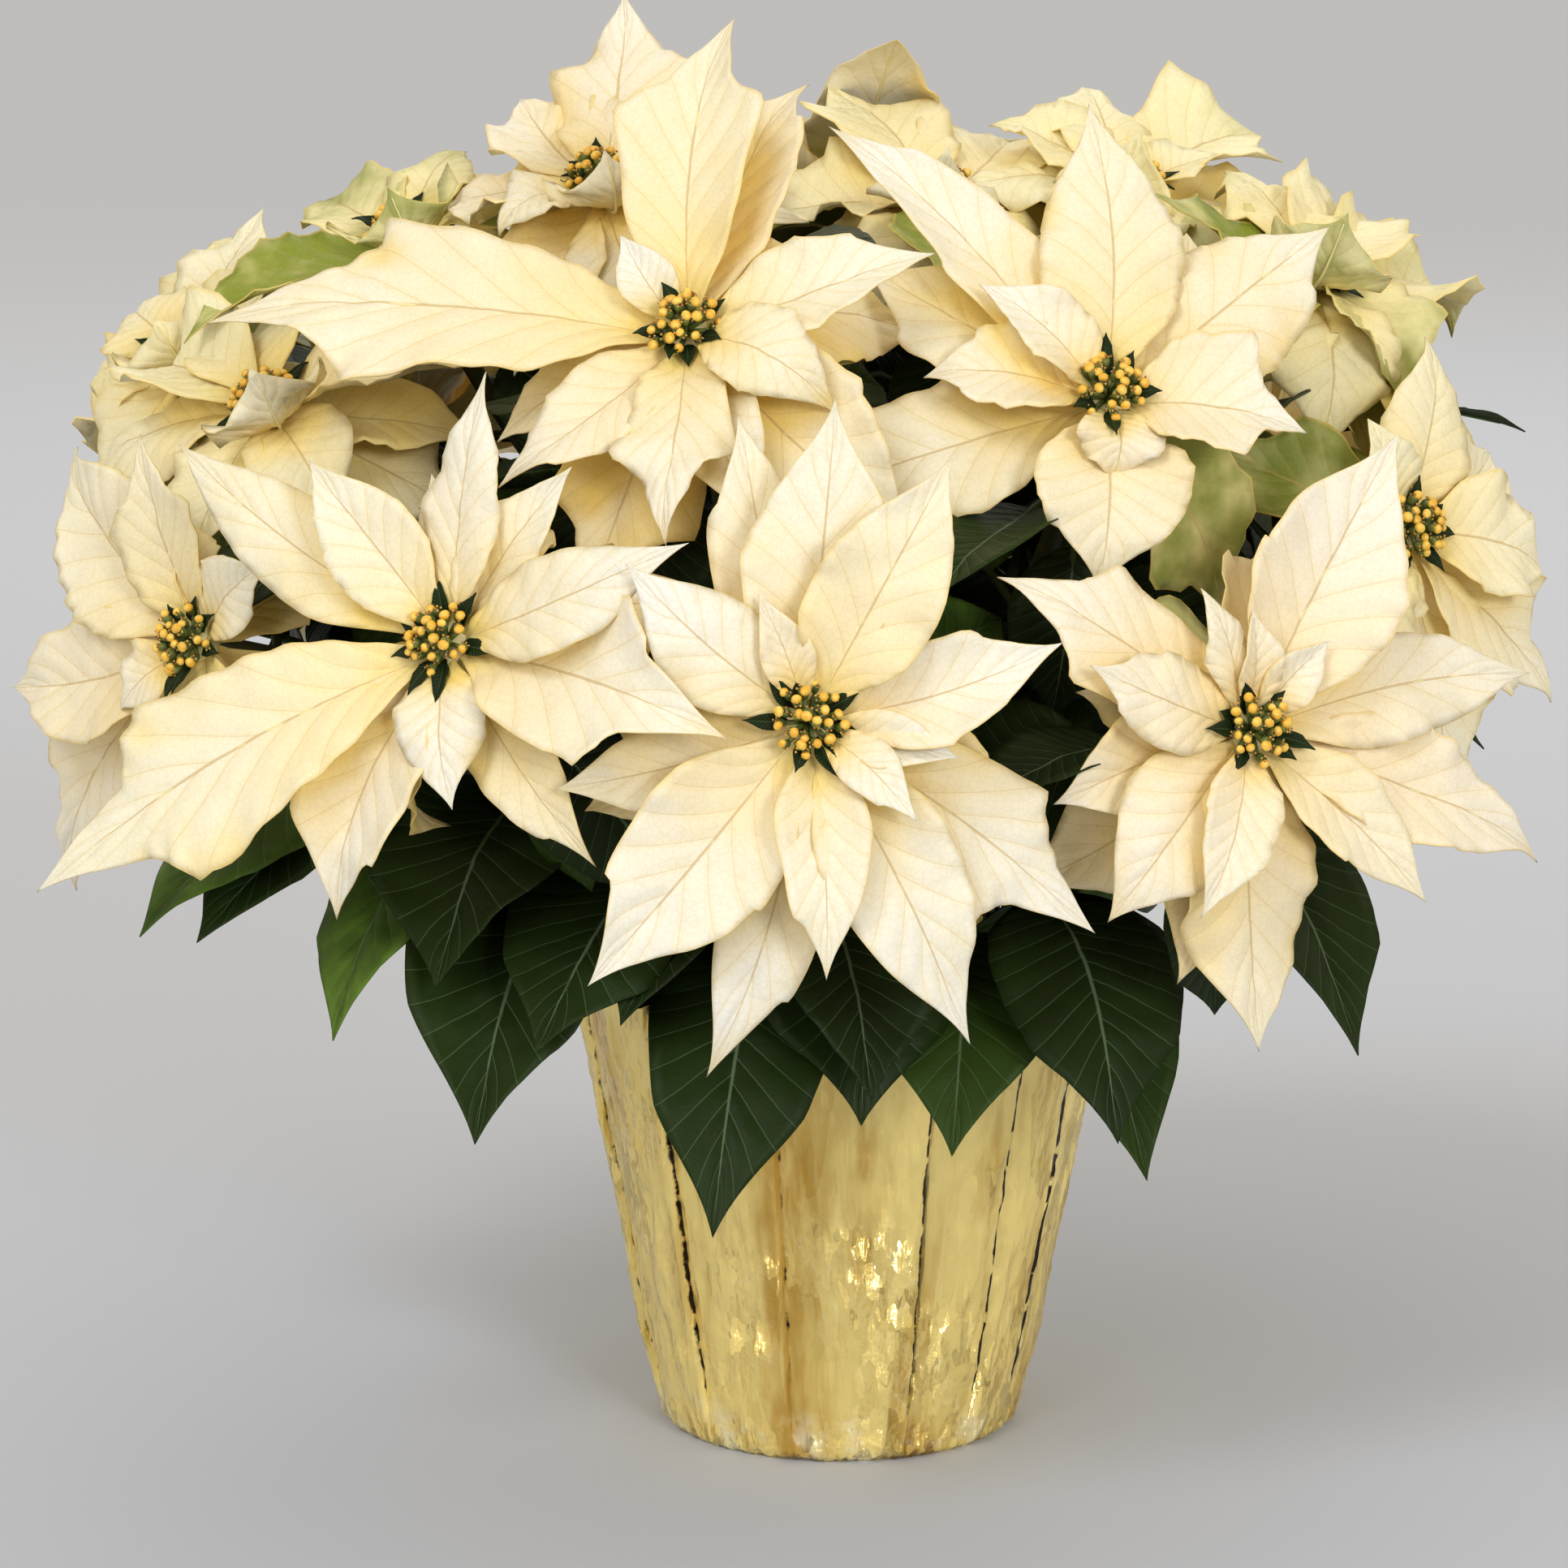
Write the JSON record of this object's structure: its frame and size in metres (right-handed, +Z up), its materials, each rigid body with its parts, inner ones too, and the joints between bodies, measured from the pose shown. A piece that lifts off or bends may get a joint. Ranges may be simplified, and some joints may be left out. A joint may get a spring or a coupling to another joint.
{
  "type": "potted poinsettia",
  "caption": "Cream poinsettia in full bloom on branching leafy stems, rooted in a nursery pot of growing mix that stands in a pleated gold foil cover.",
  "frame": {"origin": "the middle of the foil cover's flat foot, on the surface that the pot stands on", "axes": "+Z up, -Y towards the front of the plant, +X to the right as seen from the front"},
  "size_m": [0.4938, 0.446, 0.456],
  "materials": {
    "bract": "satin",
    "cyathia": "satin",
    "leaf": "satin",
    "growing_mix": "matte",
    "pot": "matte",
    "foil": "gloss"
  },
  "bodies": {
    "root": {"foil_cover": "foil", "nursery_pot": "pot", "growing_mix": "growing_mix", "plant_left": "leaf", "plant_right": "leaf", "plant_back": "leaf", "bracts_centre": "bract", "bracts_top_left": "bract", "bracts_top_right": "bract", "bracts_left": "bract", "bracts_right": "bract", "bracts_far_left": "bract", "bracts_upper_left": "bract", "bracts_outer_left": "bract", "bracts_crown_left": "bract", "bracts_crown": "bract", "bracts_crown_mid": "bract", "bracts_crown_right": "bract", "bracts_upper_right": "bract", "bracts_far_right": "bract", "bracts_back_left": "bract", "bracts_back_crown": "bract", "bracts_back_right": "bract", "bracts_back_centre": "bract", "cyathia_centre": "cyathia", "cyathia_top_left": "cyathia", "cyathia_top_right": "cyathia", "cyathia_left": "cyathia", "cyathia_right": "cyathia", "cyathia_far_left": "cyathia", "cyathia_upper_left": "cyathia", "cyathia_outer_left": "cyathia", "cyathia_crown_left": "cyathia", "cyathia_crown": "cyathia", "cyathia_crown_mid": "cyathia", "cyathia_crown_right": "cyathia", "cyathia_upper_right": "cyathia", "cyathia_far_right": "cyathia", "cyathia_back_left": "cyathia", "cyathia_back_crown": "cyathia", "cyathia_back_right": "cyathia", "cyathia_back_centre": "cyathia"}
  },
  "joints": []
}
